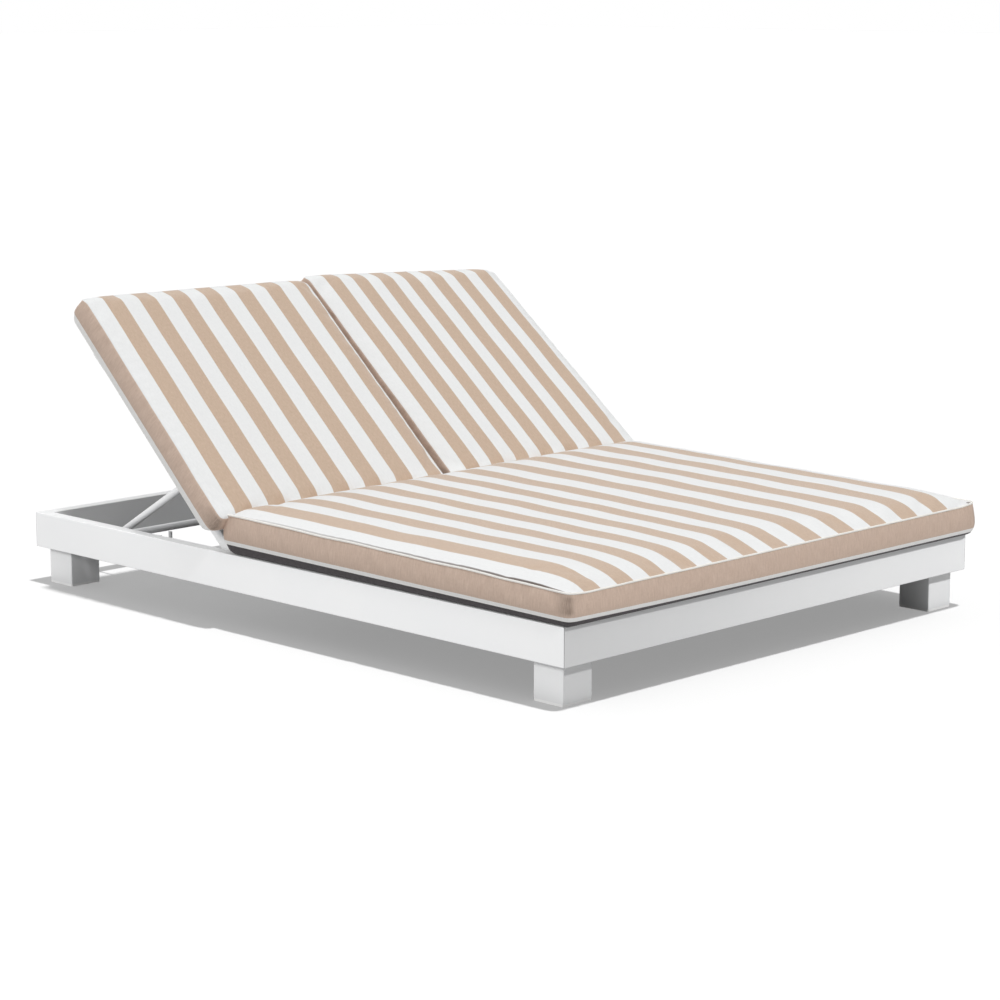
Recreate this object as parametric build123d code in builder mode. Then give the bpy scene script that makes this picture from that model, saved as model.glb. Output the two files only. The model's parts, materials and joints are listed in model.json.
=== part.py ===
from build123d import *
import math
import os

# Double chaise lounger, in millimetres. X runs across, -Y is the foot end, +Z is up.
# The origin is on the floor, at the middle of the whole outline, with both backs raised.

# Perimeter frame of box section
frame_length = 2000
frame_width = 1540
rail_height = 95
rail_width = 35
rail_wall = 2.5
rail_corner = 2

# Square legs and their pads
leg_side = 96
leg_inset = 25
leg_drop = 94
leg_wall = 3
leg_corner = 3
pad_thickness = 6
pad_plug_height = 10
pad_plug_clearance = 0.3

# Deck slats, of one section for the seat and the backs
slat_width = 90
slat_thickness = 15
slat_wall = 1.5
slat_corner = 2
seat_slat_count = 8
back_slat_count = 6
slat_end_clearance = 0.5

# Beams and ledges that carry the seat deck
centre_beam_width = 40
centre_beam_height = 60
hinge_beam_width = 30
hinge_beam_height = 60
beam_wall = 2
beam_corner = 2
ledge_leg = 22
ledge_thickness = 3

# Hinges of the backs
hinge_from_head = 796
hinge_beam_setback = 42
hinge_pin_diameter = 10
hinge_pin_head = 16
hinge_pin_head_thickness = 2.8
hinge_nut_across = 16
hinge_nut_thickness = 6
pin_clearance = 0.05
bracket_height = 28
bracket_nose = 14
bracket_corner = 7
bracket_ear = 4
bracket_ear_clearance = 0.5
bracket_base = 3

# Back frames
recline = 41
raise_above_photo = 9
back_side_gap = 8
back_tube_width = 25
back_tube_height = 30
back_tube_wall = 2
back_tube_corner = 2
back_length = 751
back_tail = 16
back_bottom_tube_start = 30
first_back_slat_start = 34
end_plug_flange = 3
end_plug_depth = 8

# Stays that hold the backs up
stay_pivot_from_hinge = 280
stay_length = 382
stay_angle = 30.8
stay_diameter = 20
stay_wall = 1.5
stay_bend_radius = 35
stay_side_clearance = 1
stay_eye_side = 24
stay_eye_corner = 7
stay_weld_overlap = 2
stay_pin_diameter = 8
stay_pin_head = 16
stay_pin_head_thickness = 3
stay_nut_across = 13
stay_nut_thickness = 5
stay_play = 0.2
stay_turn_ratio = -1.65

# Toothed racks under the foot bars
rack_spacing = 397
rack_thickness = 6
rack_web = 15
rack_top = 140
rack_pitch = 44
rack_teeth_headward = 4
tooth_depth = 9
tooth_crest = 4
tooth_undercut = 2
bar_clearance = 0.8
hook_height = 17
hook_crest = 7

# Ledge at the head that the flat backs rest on
head_ledge_length = 400
head_ledge_leg = 22
rest_gap = 0.5

# Cushions
cushion_gap = 0.3
cushion_side_overhang = 10
cushion_foot_overhang = 20
cushion_split_gap = 4
side_bulge = 4
crown_edge = 55
crown_edge_share = 0.78
crown_middle_share = 0.6
seat_cushion_to_hinge = 14
seat_cushion_rear_lean = 10
seat_roll_width = 14
seat_roll_height = 22
back_cushion_start = 87
back_cushion_end = 829
back_cushion_start_lean = 32
back_roll_width = 14
back_roll_height = 12

# Places worked out from the sizes above
rail_bottom = pad_thickness + leg_drop
rail_top = rail_bottom + rail_height
foot_y = -(frame_length - cushion_foot_overhang) / 2
head_y = foot_y + frame_length
inner_x = frame_width / 2 - rail_width
inner_foot_y = foot_y + rail_width
inner_head_y = head_y - rail_width
deck_underside = rail_top - slat_thickness
hinge_y = head_y - hinge_from_head
hinge_z = deck_underside - back_tube_height / 2
hinge_beam_rear = hinge_y - hinge_beam_setback
hinge_beam_front = hinge_beam_rear - hinge_beam_width
back_outer_x = inner_x - back_side_gap
back_middle_x = (back_outer_x + back_side_gap) / 2
back_width = back_outer_x - back_side_gap
back_deck = back_tube_height / 2 + slat_thickness
tilt = math.radians(recline)
up_the_back = Vector(0, math.cos(tilt), math.sin(tilt))
along_x = (0, 90, 0)
from_left = (Align.CENTER, Align.CENTER, Align.MIN)
sides = {"left": -1, "right": 1}

os.makedirs("parts", exist_ok=True)


def save(part, name):
    part.label = name
    export_step(part, f"parts/{name}.step")


def back_point(along, out, raised=0):
    """The (y, z) place of a point of a back: its distance up the back and out of it from the hinge."""
    turn = math.radians(recline + raised)
    y = hinge_y + along * math.cos(turn) - out * math.sin(turn)
    z = hinge_z + along * math.sin(turn) + out * math.cos(turn)
    return (y, z)


def bar_centre(raised):
    """The (y, z) place of a foot bar's centre, with its back raised above the photographed angle."""
    y, z = back_point(stay_pivot_from_hinge, 0, raised)
    angle = math.radians(raised * (1 + stay_turn_ratio) - stay_angle)
    return (y + stay_length * math.cos(angle), z + stay_length * math.sin(angle))


def back_side_plane(x):
    """A plane square to X through the hinge: local x runs up the back and local y out of its deck."""
    return Plane(origin=(x, hinge_y, hinge_z), x_dir=up_the_back, z_dir=(1, 0, 0))


def box_tube(plane, centre, width, height, wall, corner, length):
    """A box tube drawn on a plane and drawn out along its normal, with its corners cut at an angle."""
    with BuildPart() as tube:
        with BuildSketch(plane) as section:
            with Locations(centre):
                Rectangle(width, height)
            chamfer(section.vertices(), length=corner)
            with Locations(centre):
                Rectangle(width - 2 * wall, height - 2 * wall, mode=Mode.SUBTRACT)
        extrude(amount=length)
    return tube.part


def rounded_rail(plane, centre, length):
    """A length of the perimeter's box section, with rounded corners."""
    with BuildPart() as rail:
        with BuildSketch(plane):
            with Locations(centre):
                RectangleRounded(rail_width, rail_height, rail_corner)
                Rectangle(rail_width - 2 * rail_wall, rail_height - 2 * rail_wall, mode=Mode.SUBTRACT)
        extrude(amount=length)
    return rail.part


# Side rails, mitred at both ends
for side, sign in sides.items():
    rail_x = sign * (frame_width - rail_width) / 2
    rail_z = rail_bottom + rail_height / 2
    with BuildPart() as side_rail:
        add(rounded_rail(Plane.XZ.offset(-head_y), (rail_x, rail_z), frame_length))
        for end_y, inward in ((foot_y, 1), (head_y, -1)):
            split(bisect_by=Plane(origin=(sign * frame_width / 2, end_y, 0), z_dir=(sign, inward, 0)))
    save(side_rail.part, f"side_rail_{side}")

# Head and foot rails, mitred to meet the side rails
for name, end_y, inward in (("foot_rail", foot_y, 1), ("head_rail", head_y, -1)):
    centre = (end_y + inward * rail_width / 2, rail_bottom + rail_height / 2)
    with BuildPart() as cross_rail:
        add(rounded_rail(Plane.YZ.offset(-frame_width / 2), centre, frame_width))
        for sign in sides.values():
            split(bisect_by=Plane(origin=(sign * frame_width / 2, end_y, 0), z_dir=(-sign, -inward, 0)))
    save(cross_rail.part, name)

# Square legs, closed on top and welded under the rails
leg_x = frame_width / 2 - leg_inset - leg_side / 2
leg_ends = {"foot": foot_y + leg_inset + leg_side / 2, "head": head_y - leg_inset - leg_side / 2}
for side, sign in sides.items():
    for end, leg_y in leg_ends.items():
        with BuildPart() as leg:
            with BuildSketch(Plane.XY.offset(pad_thickness)):
                with Locations((sign * leg_x, leg_y)):
                    RectangleRounded(leg_side, leg_side, leg_corner)
            extrude(amount=leg_drop)
            with BuildSketch(Plane.XY.offset(pad_thickness)):
                with Locations((sign * leg_x, leg_y)):
                    Rectangle(leg_side - 2 * leg_wall, leg_side - 2 * leg_wall)
            extrude(amount=leg_drop - leg_wall, mode=Mode.SUBTRACT)
        save(leg.part, f"{end}_leg_{side}")

# Foot pads: a plate under each leg with a plug up inside it
pad_places = [(sign * leg_x, leg_y) for sign in sides.values() for leg_y in leg_ends.values()]
pad_plug_side = leg_side - 2 * (leg_wall + pad_plug_clearance)
with BuildPart() as foot_pads:
    with BuildSketch() as plates:
        with Locations(pad_places):
            Rectangle(leg_side, leg_side)
        chamfer(plates.vertices(), length=leg_corner)
    extrude(amount=pad_thickness)
    with BuildSketch(Plane.XY.offset(pad_thickness)):
        with Locations(pad_places):
            Rectangle(pad_plug_side, pad_plug_side)
    extrude(amount=pad_plug_height)
save(foot_pads.part, "foot_pads")

# Beam across the frame that carries the hinges, and beam under the middle of the seat deck
hinge_beam_centre = ((hinge_beam_front + hinge_beam_rear) / 2, deck_underside - hinge_beam_height / 2)
hinge_beam = box_tube(
    Plane.YZ.offset(-inner_x),
    hinge_beam_centre,
    hinge_beam_width,
    hinge_beam_height,
    beam_wall,
    beam_corner,
    2 * inner_x,
)
save(hinge_beam, "hinge_beam")

centre_beam = box_tube(
    Plane.XZ.offset(-hinge_beam_front),
    (0, deck_underside - centre_beam_height / 2),
    centre_beam_width,
    centre_beam_height,
    beam_wall,
    beam_corner,
    hinge_beam_front - inner_foot_y,
)
save(centre_beam, "centre_beam")

# Angle ledges along the side rails, under the ends of the seat slats
with BuildPart() as slat_ledges:
    with BuildSketch(Plane.XZ.offset(-inner_foot_y)):
        for sign in sides.values():
            corner = (sign * inner_x, deck_underside)
            inwards = Align.MIN if sign < 0 else Align.MAX
            with Locations(corner):
                Rectangle(ledge_leg, ledge_thickness, align=(inwards, Align.MAX))
                Rectangle(ledge_thickness, ledge_leg, align=(inwards, Align.MAX))
    extrude(amount=inner_foot_y - hinge_beam_front)
save(slat_ledges.part, "slat_ledges")

# Short angle ledge in the middle of the head rail, just under the inner ends of the flat backs
head_ledge_top = deck_underside - back_tube_height - rest_gap
with BuildPart() as head_ledge:
    with BuildSketch(Plane.YZ.offset(-head_ledge_length / 2)):
        with Locations((inner_head_y, head_ledge_top)):
            Rectangle(head_ledge_leg, ledge_thickness, align=(Align.MAX, Align.MAX))
            Rectangle(ledge_thickness, head_ledge_leg, align=(Align.MAX, Align.MAX))
    extrude(amount=head_ledge_length)
save(head_ledge.part, "head_ledge")

# Seat slats, evenly spaced from the foot rail to the back of the hinge beam
slat_z = deck_underside + slat_thickness / 2
slat_reach = inner_x - slat_end_clearance
seat_slat_gap = (hinge_beam_rear - inner_foot_y - seat_slat_count * slat_width) / (seat_slat_count + 1)
for number in range(seat_slat_count):
    slat_y = inner_foot_y + seat_slat_gap + slat_width / 2 + number * (slat_width + seat_slat_gap)
    seat_slat = box_tube(
        Plane.YZ.offset(-slat_reach),
        (slat_y, slat_z),
        slat_width,
        slat_thickness,
        slat_wall,
        slat_corner,
        2 * slat_reach,
    )
    save(seat_slat, f"seat_slat_{number + 1}")

# Hinge brackets: a plate on the beam and two ears, one each side of a back's side tube
tube_middles = [back_outer_x - back_tube_width / 2, back_side_gap + back_tube_width / 2]
tube_places = [sign * x for sign in sides.values() for x in tube_middles]
ear_inside = back_tube_width / 2 + bracket_ear_clearance
with BuildPart() as hinge_brackets:
    for x in tube_places:
        for ear_x in (x - ear_inside - bracket_ear, x + ear_inside):
            with BuildSketch(Plane.YZ.offset(ear_x)) as ear:
                with Locations((hinge_beam_rear, hinge_z)):
                    ear_length = hinge_beam_setback + bracket_nose
                    Rectangle(ear_length, bracket_height, align=(Align.MIN, Align.CENTER))
                nose = ear.vertices().sort_by(Axis.X)[-2:]
                chamfer(nose, length=bracket_corner)
                with Locations((hinge_y, hinge_z)):
                    Circle(hinge_pin_diameter / 2 + pin_clearance, mode=Mode.SUBTRACT)
            extrude(amount=bracket_ear)
        with BuildSketch(Plane.YZ.offset(x - ear_inside)):
            with Locations((hinge_beam_rear, hinge_z)):
                Rectangle(bracket_base, bracket_height, align=(Align.MIN, Align.CENTER))
        extrude(amount=2 * ear_inside)
save(hinge_brackets.part, "hinge_brackets")

# Hinge pins: a flat head beside the rail or the other back, and a hexagonal nut on the inner end
ear_outside = ear_inside + bracket_ear
with BuildPart() as hinge_pins:
    for sign in sides.values():
        for x, outwards in ((sign * tube_middles[0], sign), (sign * tube_middles[1], -sign)):
            nut_first = -ear_outside - hinge_nut_thickness
            head_first = ear_outside
            if outwards < 0:
                nut_first = ear_outside
                head_first = -ear_outside - hinge_pin_head_thickness
            with Locations((x - ear_outside, hinge_y, hinge_z)):
                Cylinder(hinge_pin_diameter / 2, 2 * ear_outside, rotation=along_x, align=from_left)
            with BuildSketch(Plane.YZ.offset(x + nut_first)):
                with Locations((hinge_y, hinge_z)):
                    RegularPolygon(hinge_nut_across / 2, 6, major_radius=False)
            extrude(amount=hinge_nut_thickness)
            with Locations((x + head_first, hinge_y, hinge_z)):
                Cylinder(hinge_pin_head / 2, hinge_pin_head_thickness, rotation=along_x, align=from_left)
save(hinge_pins.part, "hinge_pins")

# Racks: toothed plates between the hinge beam and the head rail. The crests of the teeth follow the
# path of the foot bar, and a taller hook at the foot end keeps the bar from leaving the rack.
bar_radius = stay_diameter / 2
rest_bar_y, rest_bar_z = bar_centre(0)
bar_path = [bar_centre(raise_above_photo - step) for step in range(recline + raise_above_photo + 1)]


def crest_height(y):
    """The height of a tooth's crest at y: just under the foot bar's lowest point there."""
    nearest = sorted(bar_path, key=lambda point: abs(point[0] - y))[:2]
    return min(point[1] for point in nearest) - bar_radius - bar_clearance


holding_face = rest_bar_y + bar_radius + bar_clearance
hook_face = holding_face - 2 * rack_pitch
first_face = hook_face + rack_pitch
rack_bottom = bar_centre(-recline)[1] - bar_radius - bar_clearance - tooth_depth - rack_web
rack_outline = [(hinge_beam_rear, rack_bottom), (hinge_beam_rear, rack_top)]
hook_top = crest_height(first_face) + hook_height
rack_outline += [
    (hook_face - tooth_undercut, rack_top),
    (hook_face - tooth_undercut, hook_top),
    (hook_face + hook_crest, hook_top),
    (hook_face + hook_crest, crest_height(first_face) - tooth_depth),
]
for tooth in range(rack_teeth_headward + 1):
    face = first_face + tooth * rack_pitch
    crest = crest_height(face)
    rack_outline += [
        (face + tooth_undercut, crest - tooth_depth),
        (face, crest),
        (face + tooth_crest, crest),
        (face + rack_pitch / 2, crest - tooth_depth),
    ]
rack_outline += [(inner_head_y, rack_outline[-1][1]), (inner_head_y, rack_bottom)]

for side, sign in sides.items():
    for place, offset in (("outer", 1), ("inner", -1)):
        rack_x = sign * (back_middle_x + offset * rack_spacing / 2)
        with BuildPart() as rack:
            with BuildSketch(Plane.YZ.offset(rack_x - rack_thickness / 2)):
                with BuildLine():
                    Polyline(*rack_outline, close=True)
                make_face()
            extrude(amount=rack_thickness)
        save(rack.part, f"{side}_rack_{place}")

# Back frames: two side tubes and a top tube mitred together, a bottom tube between the side tubes
tube_length = back_length + back_tail
stay_pivot_y, stay_pivot_z = back_point(stay_pivot_from_hinge, 0)
back_top_y, back_top_z = back_point(back_length, 0)
for side, sign in sides.items():
    for place, face_x, inward in (("outer", sign * back_outer_x, -sign), ("inner", sign * back_side_gap, sign)):
        tail_y, tail_z = back_point(-back_tail, 0)
        tail_plane = Plane(origin=(face_x, tail_y, tail_z), x_dir=(1, 0, 0), z_dir=-up_the_back)
        tube_centre = (inward * back_tube_width / 2, 0)
        tube = box_tube(
            tail_plane,
            tube_centre,
            back_tube_width,
            back_tube_height,
            back_tube_wall,
            back_tube_corner,
            -tube_length,
        )
        hole_start = min(face_x, face_x + inward * back_tube_width)
        with BuildPart() as side_tube:
            add(tube)
            corner = (face_x, back_top_y, back_top_z)
            split(bisect_by=Plane(origin=corner, z_dir=-up_the_back - Vector(inward, 0, 0)))
            with Locations((hole_start, hinge_y, hinge_z)):
                Cylinder(
                    hinge_pin_diameter / 2 + pin_clearance,
                    back_tube_width,
                    rotation=along_x,
                    align=from_left,
                    mode=Mode.SUBTRACT,
                )
            with Locations((hole_start, stay_pivot_y, stay_pivot_z)):
                Cylinder(
                    stay_pin_diameter / 2 + pin_clearance,
                    back_tube_width,
                    rotation=along_x,
                    align=from_left,
                    mode=Mode.SUBTRACT,
                )
        save(side_tube.part, f"{side}_back_{place}_tube")

    left_x = min(sign * back_side_gap, sign * back_outer_x)
    with BuildPart() as top_tube:
        add(
            box_tube(
                back_side_plane(left_x),
                (back_length - back_tube_width / 2, 0),
                back_tube_width,
                back_tube_height,
                back_tube_wall,
                back_tube_corner,
                back_width,
            )
        )
        for end_x, inward in ((left_x, 1), (left_x + back_width, -1)):
            corner = (end_x, back_top_y, back_top_z)
            split(bisect_by=Plane(origin=corner, z_dir=up_the_back + Vector(inward, 0, 0)))
    save(top_tube.part, f"{side}_back_top_tube")

    bottom_tube = box_tube(
        back_side_plane(left_x + back_tube_width),
        (back_bottom_tube_start + back_tube_width / 2, 0),
        back_tube_width,
        back_tube_height,
        back_tube_wall,
        back_tube_corner,
        back_width - 2 * back_tube_width,
    )
    save(bottom_tube, f"{side}_back_bottom_tube")

    # Plugs in the open lower ends of the side tubes
    with BuildPart() as end_plugs:
        for x in tube_middles:
            tail_y, tail_z = back_point(-back_tail, 0)
            tail_plane = Plane(origin=(sign * x, tail_y, tail_z), x_dir=(1, 0, 0), z_dir=up_the_back)
            with BuildSketch(tail_plane) as flange:
                Rectangle(back_tube_width, back_tube_height)
                chamfer(flange.vertices(), length=back_tube_corner)
            extrude(amount=-end_plug_flange)
            with BuildSketch(tail_plane):
                Rectangle(back_tube_width - 2 * back_tube_wall, back_tube_height - 2 * back_tube_wall)
            extrude(amount=end_plug_depth)
    save(end_plugs.part, f"{side}_back_end_plugs")

    # Slats across the back, on top of the side tubes
    back_slat_span = back_length - first_back_slat_start - slat_width
    for number in range(back_slat_count):
        slat_along = first_back_slat_start + slat_width / 2 + number * back_slat_span / (back_slat_count - 1)
        back_slat = box_tube(
            back_side_plane(left_x),
            (slat_along, back_tube_height / 2 + slat_thickness / 2),
            slat_width,
            slat_thickness,
            slat_wall,
            slat_corner,
            back_width,
        )
        save(back_slat, f"{side}_back_slat_{number + 1}")

# Stays: a leg on each side, bent round at its foot to meet the foot bar between them
stay_down = Vector(0, math.cos(math.radians(stay_angle)), -math.sin(math.radians(stay_angle)))
stay_leg_x = back_width / 2 - back_tube_width - stay_side_clearance - stay_diameter / 2
stay_tube_start = stay_eye_side / 2 - stay_weld_overlap
for side, sign in sides.items():
    middle_x = sign * back_middle_x
    with BuildPart() as stay_legs:
        for outwards in (-1, 1):
            leg_centre_x = middle_x + outwards * stay_leg_x
            pivot = (leg_centre_x, stay_pivot_y, stay_pivot_z)
            leg_plane = Plane(origin=pivot, x_dir=stay_down, z_dir=stay_down.cross(Vector(-outwards, 0, 0)))
            with BuildLine(leg_plane) as leg_path:
                run = Line((stay_tube_start, 0), (stay_length - stay_bend_radius, 0))
                JernArc(start=run @ 1, tangent=run % 1, radius=stay_bend_radius, arc_size=90)
            with BuildSketch(Plane(origin=leg_path.line @ 0, z_dir=leg_path.line % 0)):
                Circle(stay_diameter / 2)
            sweep(path=leg_path.line)
            eye_face = (leg_centre_x - stay_diameter / 2, stay_pivot_y, stay_pivot_z)
            with BuildSketch(Plane(origin=eye_face, x_dir=stay_down, z_dir=(1, 0, 0))) as eye:
                Rectangle(stay_eye_side, stay_eye_side)
                chamfer(eye.vertices(), length=stay_eye_corner)
                Circle(stay_pin_diameter / 2 + pin_clearance, mode=Mode.SUBTRACT)
            extrude(amount=stay_diameter)
    save(stay_legs.part, f"{side}_stay_legs")

    bar_half = stay_leg_x - stay_bend_radius
    with BuildPart() as foot_bar:
        with BuildSketch(Plane.YZ.offset(middle_x - bar_half)):
            with Locations((rest_bar_y, rest_bar_z)):
                Circle(stay_diameter / 2)
                Circle(stay_diameter / 2 - stay_wall, mode=Mode.SUBTRACT)
        extrude(amount=2 * bar_half)
    save(foot_bar.part, f"{side}_stay_foot_bar")

    # Pivot pins: head, shank through the side tube and the eye, hexagonal nut
    shank_length = back_tube_width + stay_side_clearance + stay_diameter + stay_play
    with BuildPart() as stay_pins:
        for outwards in (-1, 1):
            tube_face_x = middle_x + outwards * back_width / 2
            shank_x = min(tube_face_x, tube_face_x - outwards * shank_length)
            with Locations((shank_x, stay_pivot_y, stay_pivot_z)):
                Cylinder(stay_pin_diameter / 2, shank_length, rotation=along_x, align=from_left)
            head_x = min(tube_face_x, tube_face_x + outwards * stay_pin_head_thickness)
            with Locations((head_x, stay_pivot_y, stay_pivot_z)):
                Cylinder(stay_pin_head / 2, stay_pin_head_thickness, rotation=along_x, align=from_left)
            with BuildSketch(Plane.YZ.offset(tube_face_x - outwards * shank_length)):
                with Locations((stay_pivot_y, stay_pivot_z)):
                    RegularPolygon(stay_nut_across / 2, 6, major_radius=False)
            extrude(amount=-outwards * stay_nut_thickness)
    save(stay_pins.part, f"{side}_stay_pins")


def cushion_outline(half_width, roll_width, roll_height, seam_height, crown):
    """A cushion's section, base up: flat base, rolled edges, bulging sides and a crowned top."""
    flat = half_width - roll_width
    shoulder = half_width - crown_edge
    side_middle = (roll_height + seam_height) / 2
    shoulder_height = seam_height + crown_edge_share * crown
    edge_height = seam_height + crown_middle_share * crown_edge_share * crown
    with BuildLine() as outline:
        Line((-flat, 0), (flat, 0))
        Line((flat, 0), (half_width, roll_height))
        ThreePointArc((half_width, roll_height), (half_width + side_bulge, side_middle), (half_width, seam_height))
        ThreePointArc(
            (half_width, seam_height),
            (half_width - crown_edge / 2, edge_height),
            (shoulder, shoulder_height),
        )
        ThreePointArc((shoulder, shoulder_height), (0, seam_height + crown), (-shoulder, shoulder_height))
        ThreePointArc(
            (-shoulder, shoulder_height),
            (-half_width + crown_edge / 2, edge_height),
            (-half_width, seam_height),
        )
        ThreePointArc((-half_width, seam_height), (-half_width - side_bulge, side_middle), (-half_width, roll_height))
        Line((-half_width, roll_height), (-flat, 0))
    return outline.line


# Seat cushion. Each station: share of the length from the foot, drawn-in sides, seam height and crown
seat_stations = (
    (0, 0, 75, 3),
    (0.07, 3, 76, 13),
    (0.27, 7, 81, 19),
    (0.51, 8, 87, 22),
    (0.76, 6, 93, 21),
    (0.93, 3, 99, 14),
    (1, 0, 105, 3),
)
seat_half = frame_width / 2 + cushion_side_overhang - side_bulge
seat_front_y = foot_y - cushion_foot_overhang
seat_length = hinge_y - seat_cushion_to_hinge - seat_front_y
base_z = rail_top + cushion_gap
with BuildPart() as seat_cushion:
    for share, drawn_in, seam, crown in seat_stations:
        lean = math.radians(seat_cushion_rear_lean) if share == 1 else 0
        station = Plane(
            origin=(0, seat_front_y + share * seat_length, base_z),
            x_dir=(1, 0, 0),
            z_dir=(0, -math.cos(lean), -math.sin(lean)),
        )
        with BuildSketch(station):
            with BuildLine():
                add(cushion_outline(seat_half - drawn_in, seat_roll_width, seat_roll_height, seam, crown))
            make_face()
    loft(ruled=True)
save(seat_cushion.part, "seat_cushion")

# Back cushions. Each station: share of the length up the back, drawn-in sides, seam height and crown
back_stations = (
    (0, 0, 50, 3),
    (0.085, 1, 72, 12),
    (0.29, 4, 75, 18),
    (0.5, 5, 75, 19),
    (0.75, 4, 73, 17),
    (0.92, 2, 69, 10),
    (1, 0, 66, 3),
)
outer_edge = frame_width / 2 + cushion_side_overhang
back_cushion_middle = (outer_edge + cushion_split_gap / 2) / 2
back_half = (outer_edge - cushion_split_gap / 2) / 2 - side_bulge
back_cushion_length = back_cushion_end - back_cushion_start
for side, sign in sides.items():
    with BuildPart() as back_cushion:
        for share, drawn_in, seam, crown in back_stations:
            y, z = back_point(back_cushion_start + share * back_cushion_length, back_deck + cushion_gap)
            lean = tilt + (math.radians(back_cushion_start_lean) if share == 0 else 0)
            station = Plane(
                origin=(sign * back_cushion_middle, y, z),
                x_dir=(1, 0, 0),
                z_dir=(0, -math.cos(lean), -math.sin(lean)),
            )
            with BuildSketch(station):
                with BuildLine():
                    add(cushion_outline(back_half - drawn_in, back_roll_width, back_roll_height, seam, crown))
                make_face()
        loft(ruled=True)
    save(back_cushion.part, f"{side}_back_cushion")
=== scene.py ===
import bpy
import json
import math
import numpy as np
from mathutils import Matrix, Vector


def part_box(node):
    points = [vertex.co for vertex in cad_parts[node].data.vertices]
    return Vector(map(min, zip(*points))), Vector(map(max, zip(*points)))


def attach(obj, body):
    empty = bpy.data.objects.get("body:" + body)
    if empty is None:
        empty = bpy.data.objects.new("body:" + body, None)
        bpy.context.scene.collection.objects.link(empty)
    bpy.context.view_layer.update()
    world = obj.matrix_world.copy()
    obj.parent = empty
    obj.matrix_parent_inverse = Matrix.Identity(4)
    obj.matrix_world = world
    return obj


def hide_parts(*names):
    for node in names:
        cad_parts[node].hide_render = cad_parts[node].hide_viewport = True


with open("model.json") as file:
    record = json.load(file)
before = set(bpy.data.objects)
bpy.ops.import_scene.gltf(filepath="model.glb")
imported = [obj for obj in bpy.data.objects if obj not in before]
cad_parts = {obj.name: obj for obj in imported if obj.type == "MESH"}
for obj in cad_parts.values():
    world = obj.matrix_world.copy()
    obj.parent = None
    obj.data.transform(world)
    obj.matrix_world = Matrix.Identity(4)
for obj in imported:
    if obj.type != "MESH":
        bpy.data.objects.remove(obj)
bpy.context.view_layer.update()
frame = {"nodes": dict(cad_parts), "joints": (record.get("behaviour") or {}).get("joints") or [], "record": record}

# Camera: a long lens at head height, looking down over the left foot corner.
# Nothing here belongs to the lounger.
camera_data = bpy.data.cameras.new("view")
camera_data.lens = 102.3
camera_data.sensor_width = 36
camera_data.clip_end = 500
camera = bpy.data.objects.new("view", camera_data)
camera.location = (-5.326, -5.297, 1.652)
camera.rotation_euler = (math.radians(90 - 10.506), 0, math.radians(-45.281))
bpy.context.scene.collection.objects.link(camera)
bpy.context.scene.camera = camera
bpy.context.scene.view_settings.view_transform = "Standard"

# Floor and light: a white floor that glows a little, a white sky that is brightest overhead and
# towards the head end, a lamp overhead for the shadow on the floor, one from the foot end for all
# but the floor and the parts at the foot edge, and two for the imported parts.
bpy.ops.object.select_all(action="DESELECT")
bpy.ops.mesh.primitive_plane_add(size=120, location=(0, 0, 0))
floor = bpy.context.active_object
floor.name = "floor"

floor_glow = 0.305
floor_white = 0.22
sky_level = 0.3
sky_overhead = 0.78
floor_brightness = 1.04
overhead_share = (floor_brightness - floor_glow) / floor_white - sky_level - sky_overhead * 2 / 3
floor_paint = bpy.data.materials.new("floor_paint")
floor_paint.use_nodes = True
floor_shader = floor_paint.node_tree.nodes["Principled BSDF"]
floor_shader.inputs["Base Color"].default_value = (floor_white, floor_white, floor_white, 1)
floor_shader.inputs["Roughness"].default_value = 0.9
floor_shader.inputs["Specular IOR Level"].default_value = 0
floor_shader.inputs["Emission Strength"].default_value = floor_glow
floor_seen = floor_paint.node_tree.nodes.new("ShaderNodeLightPath")
floor_paint.node_tree.links.new(floor_seen.outputs["Is Camera Ray"], floor_shader.inputs["Emission Color"])
floor.data.materials.append(floor_paint)

sky = bpy.data.worlds.new("sky")
sky.use_nodes = True
sky_tree = sky.node_tree
sky_tree.nodes.clear()
sky_output = sky_tree.nodes.new("ShaderNodeOutputWorld")
sky_light = sky_tree.nodes.new("ShaderNodeBackground")
sky_light.inputs["Color"].default_value = (1, 1, 1, 1)
direction = sky_tree.nodes.new("ShaderNodeTexCoord")
towards = sky_tree.nodes.new("ShaderNodeVectorMath")
towards.operation = "DOT_PRODUCT"
towards.inputs[1].default_value = (-0.08, 0.45, sky_overhead)
sky_tree.links.new(direction.outputs["Generated"], towards.inputs[0])
graded = sky_tree.nodes.new("ShaderNodeMath")
graded.operation = "ADD"
graded.inputs[1].default_value = sky_level
sky_tree.links.new(towards.outputs["Value"], graded.inputs[0])
seen = sky_tree.nodes.new("ShaderNodeLightPath")
seen_directly = sky_tree.nodes.new("ShaderNodeMath")
seen_directly.operation = "MAXIMUM"
sky_tree.links.new(seen.outputs["Is Camera Ray"], seen_directly.inputs[0])
sky_tree.links.new(seen.outputs["Is Glossy Ray"], seen_directly.inputs[1])
strength = sky_tree.nodes.new("ShaderNodeMapRange")
strength.inputs["To Max"].default_value = 1
sky_tree.links.new(seen_directly.outputs[0], strength.inputs["Value"])
sky_tree.links.new(graded.outputs[0], strength.inputs["To Min"])
sky_tree.links.new(strength.outputs["Result"], sky_light.inputs["Strength"])
sky_tree.links.new(sky_light.outputs["Background"], sky_output.inputs["Surface"])
bpy.context.scene.world = sky


def lit_only(lamp, name, things):
    """The lamp lights these things and no others."""
    lit = bpy.data.collections.new(name)
    for thing in things:
        lit.objects.link(thing)
    lamp.light_linking.receiver_collection = lit
    return lit


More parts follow.
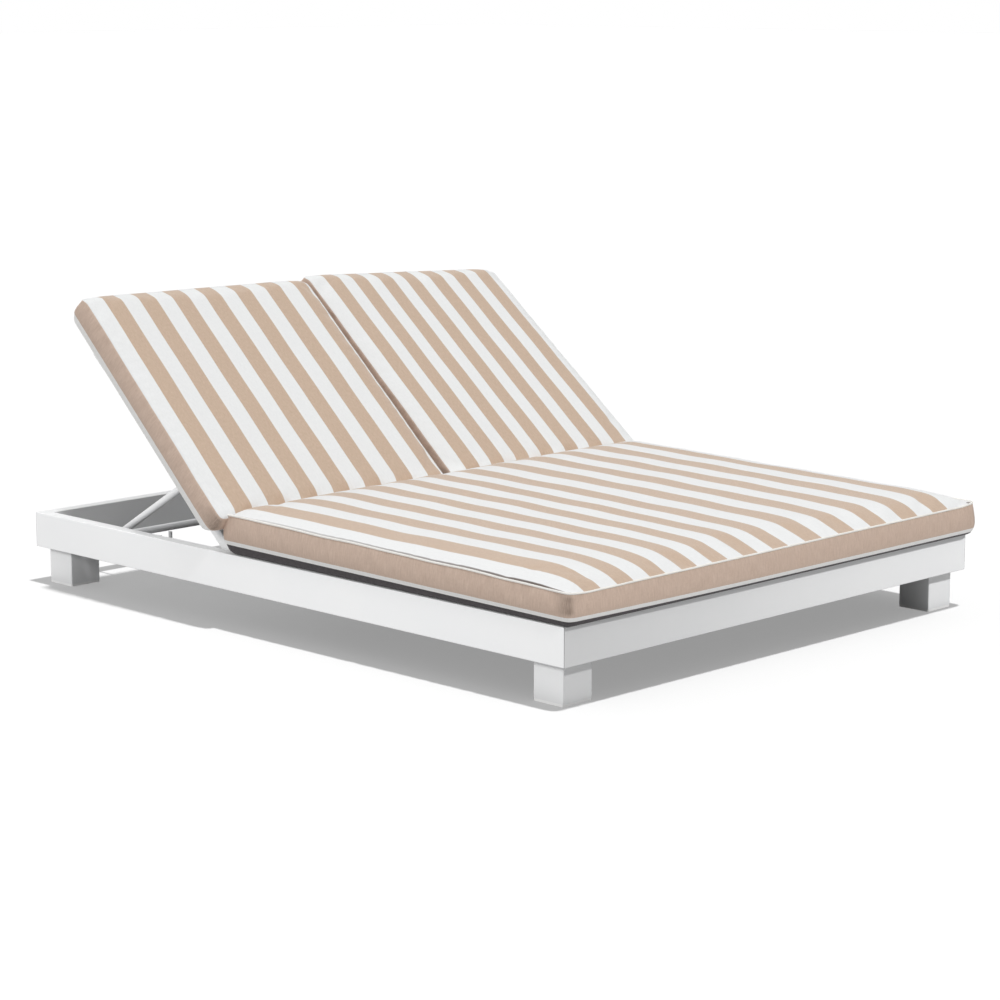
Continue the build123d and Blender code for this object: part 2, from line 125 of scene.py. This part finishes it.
def new_lamp(name, kind, energy, place, aim):
    """A lamp of this kind that looks from place to aim."""
    data = bpy.data.lights.new(name, kind)
    data.energy = energy
    made = bpy.data.objects.new(name, data)
    made.location = place
    made.rotation_euler = (Vector(aim) - Vector(place)).to_track_quat("-Z", "Y").to_euler()
    bpy.context.scene.collection.objects.link(made)
    return made


overhead = new_lamp("overhead", "SUN", overhead_share * math.pi, (0.12, -0.5, 3), (0, 0, 0))
overhead.data.angle = math.radians(2.5)
lit_only(overhead, "lit_floor", [floor])
front_share = 0.42
from_foot = new_lamp("from_foot", "SUN", front_share * math.pi, (-0.6, -3, 3.1), (0, 0, 0))
from_foot.data.angle = math.radians(6)
behind_foot = [node for name, node in frame["nodes"].items() if not name.startswith("foot_")]
cushions = lit_only(from_foot, "lit_cushions", behind_foot)
left_fill = new_lamp("left_fill", "AREA", 96, (-4.6, -0.2, 2.3), (-0.77, 0.0, 0.15))
left_fill.data.size = 1.0
metal = lit_only(left_fill, "lit_frame", frame["nodes"].values())
foot_fill = new_lamp("foot_fill", "AREA", 44, (1.1, -2.5, 1.73), (0.4, -0.99, 0.15))
foot_fill.data.size = 0.12
foot_fill.light_linking.receiver_collection = metal


# Frame: aluminium box section, welded and mitred, then powder-coated white all over. The rails,
# legs, beams, slats, racks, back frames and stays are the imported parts; here they get their coating.
class Dye:
    """A socket of a finish. Arithmetic on it adds the nodes that work it out."""

    def __init__(self, tree, socket=None):
        self.tree = tree
        self.socket = socket

    def node(self, kind, inputs, output=0, **settings):
        """Any other node: its settings first, then the values or links of its sockets."""
        made = self.tree.nodes.new("ShaderNode" + kind)
        for name, value in settings.items():
            setattr(made, name, value)
        for key, value in inputs.items():
            if isinstance(value, Dye):
                self.tree.links.new(value.socket, made.inputs[key])
            else:
                made.inputs[key].default_value = value
        return Dye(self.tree, made.outputs[output])

    def math(self, operation, other=0.0, first=None):
        return self.node("Math", {0: self if first is None else first, 1: other}, operation=operation)

    def __add__(self, other):
        return self.math("ADD", other)

    def __sub__(self, other):
        return self.math("SUBTRACT", other)

    def __rsub__(self, other):
        return self.math("SUBTRACT", self, first=other)

    def __mul__(self, other):
        return self.math("MULTIPLY", other)

    def __abs__(self):
        return self.math("ABSOLUTE")

    __radd__ = __add__
    __rmul__ = __mul__

    def least(self, other):
        return self.math("MINIMUM", other)

    def most(self, other):
        return self.math("MAXIMUM", other)

    def band(self, low, high):
        """0 below low and 1 above high, or the other way round, with an even change between."""
        return self.node("MapRange", {"Value": self, "From Min": low, "From Max": high})

    def tint(self, plain, tinted):
        """The colour plain where this is 0, and tinted where it is 1."""
        return self.node("Mix", {0: self, 6: plain, 7: tinted}, output=2, data_type="RGBA")


def new_finish(name, roughness, sheen=0.0):
    material = bpy.data.materials.new(name)
    material.use_nodes = True
    shader = material.node_tree.nodes["Principled BSDF"]
    shader.inputs["Roughness"].default_value = roughness
    shader.inputs["Sheen Weight"].default_value = sheen
    shader.inputs["Sheen Roughness"].default_value = 0.45
    return material, shader, Dye(material.node_tree)


def colour(red, green, blue):
    """A colour as it is written on screen, 0 to 255, as the shader needs it."""
    return tuple((c / 255) ** 2.2 for c in (red, green, blue)) + (1,)


def link(shader, name, dye):
    shader.id_data.links.new(dye.socket, shader.inputs[name])


def powder_coat(name, mitred):
    coat, shader, dye = new_finish(name, 0.38)
    place = dye.node("TexCoord", {}, output=3)
    cloud = dye.node("TexNoise", {"Vector": place, "Scale": 5, "Detail": 2})
    white = cloud.tint(colour(216, 217, 218), colour(221, 221, 221))
    if mitred:
        half_width, to_foot_end, to_head_end = 0.77, 0.99, 1.01
        across = place.node("SeparateXYZ", {0: place})
        along = place.node("SeparateXYZ", {0: place}, output=1)
        from_side = half_width - abs(across)
        from_end = (along + to_foot_end).least(to_head_end - along)
        off_mitre = abs(from_side - from_end)
        joint = off_mitre.band(0.0013, 0.0007)
        white = joint.tint(white, colour(140, 140, 142))
    link(shader, "Base Color", white)
    orange_peel = dye.node("TexNoise", {"Vector": place, "Scale": 900, "Detail": 1})
    grain = dye.node("Bump", {"Height": orange_peel, "Strength": 0.05, "Distance": 0.0004})
    link(shader, "Normal", grain)
    link(shader, "Roughness", cloud.band(0, 1) * 0.08 + 0.34)
    return coat


def made_of(slot):
    """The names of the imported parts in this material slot."""
    return [part["node"] for part in frame["record"]["subparts"] if part["material_slot"] == slot]


def dress(name, material):
    """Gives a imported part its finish."""
    materials = frame["nodes"][name].data.materials
    materials.clear()
    materials.append(material)


rail_coat = powder_coat("rail_coat", True)
frame_coat = powder_coat("frame_coat", False)
for part in made_of("white_metal"):
    is_rail = part.endswith("_rail") or part.startswith("side_rail")
    dress(part, rail_coat if is_rail else frame_coat)

# Foot pads and end plugs: moulded white plastic, pushed into the open ends of the legs and of
# the back frames' side tubes.
moulded_plastic, shader, dye = new_finish("moulded_plastic", 0.5)
place = dye.node("TexCoord", {}, output=3)
speckle = dye.node("TexNoise", {"Vector": place, "Scale": 160, "Detail": 3})
link(shader, "Base Color", speckle.tint(colour(226, 226, 225), colour(236, 236, 235)))
link(shader, "Normal", dye.node("Bump", {"Height": speckle, "Strength": 0.1, "Distance": 0.0003}))
for part in made_of("plastic"):
    dress(part, moulded_plastic)

# Hinge brackets, hinge pins and stay pins: plain stainless steel with a brushed finish, bolted
# and nutted through the tubes.
brushed_steel, shader, dye = new_finish("brushed_steel", 0.35)
shader.inputs["Metallic"].default_value = 1
place = dye.node("TexCoord", {}, output=3)
drawn_out = dye.node("Mapping", {"Vector": place, "Scale": (40, 900, 900)})
brushing = dye.node("TexNoise", {"Vector": drawn_out, "Scale": 1, "Detail": 4})
link(shader, "Base Color", brushing.tint(colour(170, 172, 175), colour(205, 206, 208)))
link(shader, "Roughness", brushing * 0.2 + 0.25)
for part in made_of("steel"):
    dress(part, brushed_steel)


# Seat cushion: a foam slab in a sewn cover. The top panel is woven in lengthwise beige and white
# stripes, the boxing is plain beige over a white band, and the underside is dark non-woven cloth.
# White piping is sewn in round the top panel, and the cushion lies loose on the slats and rails.
def woven(across, along, pitch):
    """Height of a plain weave: threads one way over threads the other."""
    warp = (across * (math.pi / pitch)).math("SINE")
    weft = (along * (math.pi / pitch)).math("SINE")
    return abs(warp) * abs(weft)


def cloth_coordinates(dye):
    """Metres across and along the cloth, as it was cut, from the cover's own map."""
    cut = dye.node("UVMap", {}, uv_map="cut")
    return cut, dye.node("SeparateXYZ", {0: cut}), dye.node("SeparateXYZ", {0: cut}, output=1)


def thread_texture(shader, dye, across, along, tone, slub):
    """Weave and slubs as a bump, linked to the shader."""
    thread_pitch = 0.0011
    weave = woven(across, along, thread_pitch)
    height = weave * 0.6 + slub * 0.4
    link(shader, "Normal", dye.node("Bump", {"Height": height, "Strength": 0.35, "Distance": 0.0004}))
    link(shader, "Base Color", tone)


white_yarn = colour(235, 236, 236)
white_yarn_shade = colour(228, 229, 229)
beige_yarn = colour(201, 177, 155)
beige_yarn_shade = colour(188, 163, 142)


def striped_cloth(name, centre, period_left, period_right, beige_share, first, last):
    """Lengthwise stripes, numbered from 0 at centre; also what else the cloth may need."""
    cloth, shader, dye = new_finish(name, 0.85, 0.45)
    cut, across, along = cloth_coordinates(dye)
    ragged_edge, soft_edge = 0.012, 0.006
    offset = across - centre
    count = offset.least(0) * (1 / period_left) + offset.most(0) * (1 / period_right)
    nearest = (count + 0.5).math("FLOOR").most(first).least(last)
    from_middle = abs(count - nearest)
    ragged = dye.node("TexNoise", {"Vector": cut, "Scale": 420, "Detail": 1})
    edge = from_middle + (ragged - 0.5) * ragged_edge
    beige = edge.band(beige_share / 2 + soft_edge, beige_share / 2 - soft_edge)
    slub_map = dye.node("Mapping", {"Vector": cut, "Scale": (500, 60, 1)})
    slub = dye.node("TexNoise", {"Vector": slub_map, "Scale": 1})
    mottle = dye.node("TexNoise", {"Vector": cut, "Scale": 130, "Detail": 5, "Roughness": 0.7})
    worn = (slub * 0.5 + mottle * 0.5).band(0.35, 0.65)
    white = worn.tint(white_yarn_shade, white_yarn)
    tone = beige.tint(white, worn.tint(beige_yarn_shade, beige_yarn))
    thread_texture(shader, dye, across, along, tone, slub)
    return cloth, shader, tone


def plain_cloth(name, dark, light, grain=(320, 40)):
    """One-colour cloth with slubs drawn out across the boxing, and painted shade at the corners for the shade in
    their folds.
    """
    cloth, shader, dye = new_finish(name, 0.9, 0.1)
    cut, across, along = cloth_coordinates(dye)
    drawn = dye.node("Mapping", {"Vector": cut, "Scale": (grain[0], grain[1], 1)})
    slub = dye.node("TexNoise", {"Vector": drawn, "Scale": 1, "Detail": 3})
    mottle = dye.node("TexNoise", {"Vector": cut, "Scale": 190, "Detail": 4, "Roughness": 0.7})
    tone = (slub * 0.6 + mottle * 0.4).band(0.32, 0.68).tint(dark, light)
    # Painted shade: the cloth darkens towards the cushion's corners, with crease-like streaks, for the shade in
    # the folds there.
    painted_fold_shade = dye.node("Attribute", {}, output=2, attribute_name="painted_fold_shade")
    painted_crease_shade = dye.node("TexNoise", {"Vector": dye.node("Mapping", {"Vector": cut, "Scale": (90, 14, 1)})})
    pulled_crease_shade = painted_fold_shade * painted_crease_shade.band(0.3, 0.6)
    tone = (painted_fold_shade * 0.45 + pulled_crease_shade * 0.4).tint(tone, tuple(c * 0.4 for c in dark[:3]) + (1,))
    thread_texture(shader, dye, across, along, tone, slub)
    return cloth


boxing_cloth = plain_cloth("boxing_cloth", colour(193, 169, 152), colour(211, 188, 172))
band_cloth = plain_cloth("band_cloth", colour(232, 231, 229), colour(241, 240, 238))
underside_cloth = plain_cloth("underside_cloth", colour(62, 58, 60), colour(80, 75, 77), (90, 90))
piping_cloth = plain_cloth("piping_cloth", colour(236, 233, 227), colour(245, 243, 238), (60, 300))

# Up a cushion's sides run three rows of cells for the rolled edge, one for the band and five for
# the boxing.
band_height = 0.012
boxing_height = 0.09
lower_rows = 4
boxing_rows = 5
rows = lower_rows + boxing_rows


def pick(cover):
    """Makes this cover the active object, and the only one selected."""
    bpy.ops.object.select_all(action="DESELECT")
    bpy.context.view_layer.objects.active = cover
    cover.select_set(True)


def places(cover):
    """The points of the cover, as rows of x, y and z."""
    points = np.zeros(len(cover.data.vertices) * 3)
    cover.data.vertices.foreach_get("co", points)
    return points.reshape(-1, 3)


def move_to(cover, points):
    """Moves the points of the cover to these places."""
    cover.data.vertices.foreach_set("co", points.ravel())
    cover.data.update()


def select_edges(cover, chosen):
    """Selects the edges for which chosen(start, end) is true, and leaves edit mode on."""
    pick(cover)
    bpy.ops.object.mode_set(mode="EDIT")
    bpy.ops.mesh.select_mode(type="EDGE")
    bpy.ops.mesh.select_all(action="DESELECT")
    bpy.ops.object.mode_set(mode="OBJECT")
    points = [vertex.co.copy() for vertex in cover.data.vertices]
    for edge in cover.data.edges:
        edge.select = chosen(points[edge.vertices[0]], points[edge.vertices[1]])
    bpy.ops.object.mode_set(mode="EDIT")


def cushion_blank(name, width, length, cell):
    """A flat box of cells, one unit high and divided into rows up its sides."""
    bpy.ops.object.select_all(action="DESELECT")
    bpy.ops.mesh.primitive_cube_add(size=1, location=(0, 0, 0))
    cover = bpy.context.active_object
    cover.name = name
    cover.data.name = name
    cover.dimensions = (width, length, 1)
    bpy.ops.object.transform_apply(location=True, rotation=True, scale=True)
    cells = (round(width / cell), round(length / cell), rows)
    for axis in range(3):
        select_edges(cover, lambda start, end: abs(start[axis] - end[axis]) > 1e-4)
        bpy.ops.mesh.subdivide(number_cuts=cells[axis] - 1)
        bpy.ops.object.mode_set(mode="OBJECT")
    return cover


def cut_map(cover, middle=0.0):
    """The cover's map before it is shaped: metres on the flat cloth, which starts from middle."""
    mesh = cover.data
    while mesh.uv_layers:
        mesh.uv_layers.remove(mesh.uv_layers[0])
    layer = mesh.uv_layers.new(name="cut")
    for face in mesh.polygons:
        for loop in face.loop_indices:
            x, y, z = mesh.vertices[mesh.loops[loop].vertex_index].co
            if abs(face.normal.z) > 0.5:
                layer.data[loop].uv = (x + middle, y)
            elif abs(face.normal.x) > 0.5:
                layer.data[loop].uv = (y, z * boxing_height)
            else:
                layer.data[loop].uv = (x, z * boxing_height)


def edge_rise(distance, reach, power):
    """From 0 at a seam to 1 once the foam stands at its full height."""
    return 1 - (1 - np.clip(distance / reach, 0, 1)) ** power


def domed(*rises):
    """Joins the rises from several seams into one dome, with its corners pulled flat."""
    return np.clip(1 - sum((1 - rise) ** 3 for rise in rises) ** (1 / 3), 0, 1)


def stored(mesh, name, values):
    """Keeps one number for each point of the mesh, for the cloths to use."""
    mesh.attributes.new(name, "FLOAT", "POINT").data.foreach_set("value", values.astype(np.float32))


def shape_cushion(cover, form):
    """Turns the blank into a crowned cushion: base at height 0, sides bulged, a rolled lower edge."""
    mesh = cover.data
    points = places(cover)
    half, length = points[:, 0].max(), 2 * points[:, 1].max()
    across = points[:, 0] / half
    share = points[:, 1] / length + 0.5
    row = np.rint((points[:, 2] + 0.5) * rows)
    on_top = row == rows
    from_side = (1 - np.abs(across)) * half
    from_front = share * length
    from_rear = (1 - share) * length
    on_edge = (from_side < 1e-4) | (from_front < 1e-4) | (from_rear < 1e-4)

    # heights: the rolled lower edge, the band, the boxing, then the crown of the panel
    seam = form["seam"](share, across)
    roll = form["roll"](share, across)
    panel = seam + form["crown"](across, from_side, from_front, from_rear)
    band_top = roll + band_height
    boxing = band_top + (seam - band_top) * (row - lower_rows) / boxing_rows
    height = np.select([on_top, row >= lower_rows, row == 3, row == 2, row == 1],
                       [panel, boxing, roll, roll * 0.7, roll * 0.28], 0.0)
    waves = np.sin(points[:, 0] * 23 + 1.3) * np.sin(points[:, 1] * 17 + 0.4)
    waves = waves + 0.6 * np.sin(points[:, 0] * 9 - points[:, 1] * 31)
    ripple = form["waves"] * waves * np.clip(from_front / 0.1, 0.3, 1)
    height = height + np.where(row > lower_rows, ripple, 0)

    # plan: rounded corners, sides where the form has them, the roll drawn in
    from_end = np.minimum(from_front, from_rear)
    radius = form["corner"]
    a = np.clip(1 - from_side / radius, 0, 1)
    b = np.clip(1 - from_end / radius, 0, 1)
    k = np.where((a > 0) & (b > 0), np.maximum(a, b) / np.maximum(np.hypot(a, b), 1e-9), 1)
    from_side = np.where(a > 0, radius * (1 - a * k), from_side)
    from_end = np.where(b > 0, radius * (1 - b * k), from_end)
    inset = form["roll_width"] * np.select([row == 0, row == 1, row == 2], [1.0, 0.45, 0.12], 0.0)
    up_side = np.clip((height - roll) / np.maximum(seam - roll, 1e-4), 0, 1)
    swell = form["bulge"] * np.sin(up_side**0.55 * math.pi)
    bulge = np.where(on_edge & (row >= 3), swell, 0)
    left, right = form["sides"](share)
    side = 1 - from_side / half
    out = np.where(np.abs(across) > 0.999, bulge, 0)
    x = (left + right) / 2 + np.sign(across) * (side * ((right - left) / 2 - inset) + out)
    fade = np.clip(1 - from_end / 0.25, 0, 1)
    end = from_end + inset * fade - np.where(np.minimum(from_front, from_rear) < 1e-4, bulge, 0)
    y = np.where(share < 0.5, end, length - end) - form["shorter"](across) * share
    move_to(cover, np.stack([x, y, height], 1))

    # the sewn edge, what holds the cover, and how much painted shade the boxing gets near its corners
    sewn = cover.vertex_groups.new(name="seam")
    sewn.add([int(i) for i in np.flatnonzero(on_top & on_edge)], 1, "REPLACE")
    held = cover.vertex_groups.new(name="held")
    held.add([int(i) for i in np.flatnonzero(row <= lower_rows)], 1, "REPLACE")
    held.add([int(i) for i in np.flatnonzero(on_top & on_edge)], 0.85, "REPLACE")
    # Painted shade for the folds at the corners: strongest at each corner, and on the side faces five times as
    # strong as on the ends.
    fold_shade_reach = 0.055
    to_corner = np.hypot((1 - np.abs(across)) * half, share * length)
    corner_fold_shade = np.clip(1 - to_corner / fold_shade_reach, 0, 1)
    fold_shade_depth = np.where(np.abs(across) > 0.999, 1.0, 0.2)
    stored(mesh, "painted_fold_shade", np.where(~on_top & (row > lower_rows), fold_shade_depth * corner_fold_shade**1.5, 0))


def sew_cloths(cover, panel_cloth, roll_cloth):
    """Each face takes the cloth it is cut from."""
    mesh = cover.data
    for cloth in (panel_cloth, boxing_cloth, band_cloth, roll_cloth, underside_cloth):
        mesh.materials.append(cloth)
    for face in mesh.polygons:
        level = (face.center.z + 0.5) * rows
        if abs(face.normal.z) > 0.5:
            face.material_index = 0 if face.normal.z > 0 else 4
        else:
            face.material_index = 3 if level < 3 else 2 if level < lower_rows else 1


def fill_with_foam(cover, cap):
    """Cloth simulation: the filling presses the cover out between its seams, at most by cap."""
    before = places(cover)
    pick(cover)
    cloth = cover.modifiers.new("filling", "CLOTH")
    cloth.settings.quality = 4
    cloth.settings.mass = 0.4
    cloth.settings.tension_stiffness = 18
    cloth.settings.compression_stiffness = 18
    cloth.settings.shear_stiffness = 8
    cloth.settings.bending_stiffness = 0.8
    cloth.settings.use_pressure = True
    cloth.settings.uniform_pressure_force = 3
    cloth.settings.shrink_min = -0.012
    cloth.settings.vertex_group_mass = "held"
    cloth.settings.pin_stiffness = 2
    cloth.settings.effector_weights.gravity = 0
    filling_frames = 20
    cloth.point_cache.frame_start = 1
    cloth.point_cache.frame_end = filling_frames
    for step in range(1, filling_frames + 1):
        bpy.context.scene.frame_set(step)
    bpy.ops.object.modifier_apply(modifier="filling")
    bpy.context.scene.frame_set(1)
    moved = places(cover) - before
    reach = np.linalg.norm(moved, axis=1, keepdims=True)
    moved = moved * np.minimum(1, cap / np.maximum(reach, 1e-9))
    move_to(cover, before + moved)


def smooth_cover(cover):
    """Rounds the cells off, with the sewn edges kept crisp."""
    seam_group = cover.vertex_groups["seam"].index
    sewn = {v.index for v in cover.data.vertices if any(g.group == seam_group for g in v.groups)}
    pick(cover)
    bpy.ops.object.mode_set(mode="EDIT")
    bpy.ops.mesh.select_all(action="DESELECT")
    bpy.ops.object.mode_set(mode="OBJECT")
    for edge in cover.data.edges:
        edge.select = edge.vertices[0] in sewn and edge.vertices[1] in sewn
    bpy.ops.object.mode_set(mode="EDIT")
    bpy.ops.transform.edge_crease(value=0.7)
    bpy.ops.object.mode_set(mode="OBJECT")
    rounding = cover.modifiers.new("rounding", "SUBSURF")
    rounding.levels = 1
    rounding.render_levels = 1
    bpy.ops.object.modifier_apply(modifier="rounding")
    bpy.ops.object.shade_smooth()


def sew_piping(cover, name, thickness):
    """A cloth-covered cord along the sewn edge of the top panel."""
    seam_group = cover.vertex_groups["seam"].index
    sewn = set()
    for vertex in cover.data.vertices:
        if any(g.group == seam_group and g.weight > 0.99 for g in vertex.groups):
            sewn.add(vertex.index)
    pick(cover)
    bpy.ops.object.duplicate()
    piping = bpy.context.active_object
    piping.name = name
    piping.data.name = name
    bpy.ops.object.mode_set(mode="EDIT")
    bpy.ops.mesh.select_mode(type="VERT")
    bpy.ops.mesh.select_all(action="SELECT")
    bpy.ops.mesh.delete(type="ONLY_FACE")
    bpy.ops.mesh.select_all(action="DESELECT")
    bpy.ops.object.mode_set(mode="OBJECT")
    for vertex in piping.data.vertices:
        vertex.select = vertex.index not in sewn
    bpy.ops.object.mode_set(mode="EDIT")
    bpy.ops.mesh.delete(type="VERT")
    bpy.ops.object.mode_set(mode="OBJECT")
    piping.vertex_groups.clear()
    bpy.ops.object.convert(target="CURVE")
    piping.data.bevel_depth = thickness / 2
    piping.data.bevel_resolution = 2
    bpy.ops.object.convert(target="MESH")
    piping = bpy.context.active_object
    piping.data.materials.clear()
    piping.data.materials.append(piping_cloth)
    bpy.ops.object.shade_smooth()
    while piping.data.uv_layers:
        piping.data.uv_layers.remove(piping.data.uv_layers[0])
    layer = piping.data.uv_layers.new(name="cut")
    for face in piping.data.polygons:
        for loop in face.loop_indices:
            point = piping.data.vertices[piping.data.loops[loop].vertex_index].co
            layer.data[loop].uv = (point.x + point.y, point.z)
    return piping


rail_top = 0.195
cover_gap = 0.0005
piping_thickness = 0.0055
seat_low, seat_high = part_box("seat_cushion")
seat_width = seat_high.x - seat_low.x
seat_length = seat_high.y - seat_low.y
seat_cell = 0.012


def seat_seam(share, across):
    """The seam climbs to the head end, is arched along the foot edge and pulled up at its corners."""
    foot = np.clip(1 - share / 0.15, 0, 1)
    arch = 0.002 * (1 - across**2) ** 1.5 - 0.004 * np.clip((1 - np.abs(across)) / 0.08, 0, 1)
    return 0.081 + 0.023 * share**0.8 + 0.005 * np.clip(across, 0, 1) + foot * arch


def seat_crown(across, from_side, from_front, from_rear):
    """The foam rises fast from the foot edge, and stands highest in the middle of the head end."""
    front = edge_rise(from_front, 0.17 - 0.06 * np.clip(across, 0, 1), 2.9)
    side = edge_rise(from_side, np.where(across > 0, 0.16, 0.13), np.where(across > 0, 1.8, 2.2))
    middle = 0.005 + 0.003 * across - 0.015 * across**2
    height = 0.029 + 0.002 * np.clip(across, 0, 1) + middle * np.clip(from_front / 0.5 - 0.3, 0, 1)
    return height * domed(side, front, edge_rise(from_rear, 0.16, 2.2))


def seat_roll(share, across):
    """The dark lower roll shows most at the left and towards the head end."""
    return 0.0075 + 0.0065 * np.clip(-across, 0, 1) ** 2 + 0.012 * share


seat_form = {
    "seam": seat_seam,
    "roll": seat_roll,
    "sides": lambda share: (-seat_width / 2 + 0.005, seat_width / 2 + 0.001),
    "shorter": lambda across: 0,
    "crown": seat_crown,
    "waves": 0.0008,
    "corner": 0.015,
    "roll_width": 0.014,
    "bulge": 0.007,
}
seat_cover = cushion_blank("seat_cushion_cover", seat_width, seat_length, seat_cell)
cut_map(seat_cover)
seat_stripes, shader, tone = striped_cloth(
    "seat_stripes", centre=-0.026, period_left=0.1124, period_right=0.131, beige_share=0.49,
    first=-6, last=5,
)
cut, across, along = cloth_coordinates(tone)
# Painted shade: a dark line inside the left seam for the shade of a groove there, and a dark spot at each corner
# of the foot edge for the shade of a dimple.
left_edge, foot_edge = -seat_width / 2, -seat_length / 2
painted_groove_shade = (across - left_edge).band(0.0105, 0.008) * along.band(0.9, -0.5)
for corner in ((left_edge + 0.012, foot_edge + 0.008, 0), (-left_edge - 0.014, foot_edge + 0.01, 0)):
    away = tone.node("VectorMath", {0: cut, 1: corner}, output=1, operation="DISTANCE")
    painted_groove_shade = painted_groove_shade.most(away.band(0.009, 0.005))
link(shader, "Base Color", painted_groove_shade.tint(tone, colour(96, 84, 78)))
sew_cloths(seat_cover, seat_stripes, underside_cloth)
shape_cushion(seat_cover, seat_form)
fill_with_foam(seat_cover, 0.003)
smooth_cover(seat_cover)
seat_cover.data.transform(Matrix.Translation((0, seat_low.y, rail_top + cover_gap)))
seat_piping = sew_piping(seat_cover, "seat_cushion_piping", piping_thickness)
for piece in (seat_cover, seat_piping):
    cushions.objects.link(piece)
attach(seat_cover, "base")
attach(seat_piping, "base")
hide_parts("seat_cushion")

# Back cushions: made like the seat cushion, one for each back, with a plain sewn edge in place of the
# piping and a pale lower roll. Each lies on its back's slats and moves with them; its lower end leans
# over towards the seat.
back_low, back_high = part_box("left_back_cushion")
hinge_place = Vector(frame["joints"][0]["pos_m"])
recline = math.radians(41)
slat_top = 0.0303
back_start = 0.087
back_width = back_high.x - back_low.x
back_length = 0.752
back_cell = 0.012


def back_seam(share, across):
    """The seam drops at the head end, most at its corners."""
    corner = np.clip((np.abs(across) - 0.8) / 0.2, 0, 1) ** 1.5
    head_end = (0.007 + 0.006 * corner) * np.clip(1 - (1 - share) / 0.035, 0, 1)
    return 0.0875 - head_end + fuller(across) * share


def back_crown(across, from_side, from_front, from_rear):
    """The front is nearly flat, and its edges are soft."""
    ends = (edge_rise(from_front, 0.01, 1), edge_rise(from_rear, 0.035, 2))
    return 0.011 * domed(edge_rise(from_side, 0.07, 2), *ends)


def lean_lower_end(cover):
    """The lower end slants towards the seat as it rises."""
    reach, height, slant = 0.06, 0.05, math.tan(math.radians(32))
    points = places(cover)
    near = np.clip(1 - points[:, 1] / reach, 0, 1)
    points[:, 1] -= near * np.minimum(points[:, 2], height) * slant
    move_to(cover, points)


# The left cushion is a little fuller at the head end; the right one is thinner there on its outer
# side. Both are drawn in at the outer side of the head end, and clear of the other back's tube.
back_fuller = {
    "left": lambda across: 0.005,
    "right": lambda across: -0.013 - 0.013 * across,
}
back_sides = {
    "left": lambda share: (-0.801 + 0.028 * share, -0.002 * share),
    "right": lambda share: (0.030 - 0.013 * share, 0.779 - 0.018 * share),
}
back_shorter = {
    "left": lambda across: 0.0035 + 0.0065 * across,
    "right": lambda across: 0.0025 + 0.0115 * across,
}
back_stripes = {"left": (-0.704, 0.1105, 0.5), "right": (0.080, 0.1041, 0.52)}
last_stripe = 6
for side, sign in (("left", -1), ("right", 1)):
    fuller = back_fuller[side]
    back_cover = cushion_blank(side + "_back_cushion_cover", back_width, back_length, back_cell)
    middle = sign * (back_width / 2 + 0.002)
    cut_map(back_cover, middle)
    centre, period, share = back_stripes[side]
    cloth = striped_cloth(side + "_back_stripes", centre, period, period, share, 0, last_stripe)[0]
    sew_cloths(back_cover, cloth, band_cloth)
    back_form = {
        "seam": back_seam,
        "roll": lambda share, across: 0.021,
        "sides": back_sides[side],
        "crown": back_crown,
        "waves": 0.0005,
        "corner": 0.008,
        "roll_width": 0.012,
        "shorter": back_shorter[side],
        "bulge": 0.004,
    }
    shape_cushion(back_cover, back_form)
    lean_lower_end(back_cover)
    fill_with_foam(back_cover, 0.004)
    smooth_cover(back_cover)
    on_slats = Matrix.Translation((0, back_start, slat_top + cover_gap))
    raised = Matrix.Translation((0, hinge_place.y, hinge_place.z)) @ Matrix.Rotation(recline, 4, "X")
    back_cover.data.transform(raised @ on_slats)
    cushions.objects.link(back_cover)
    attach(back_cover, side + "_back")
    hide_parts(side + "_back_cushion")
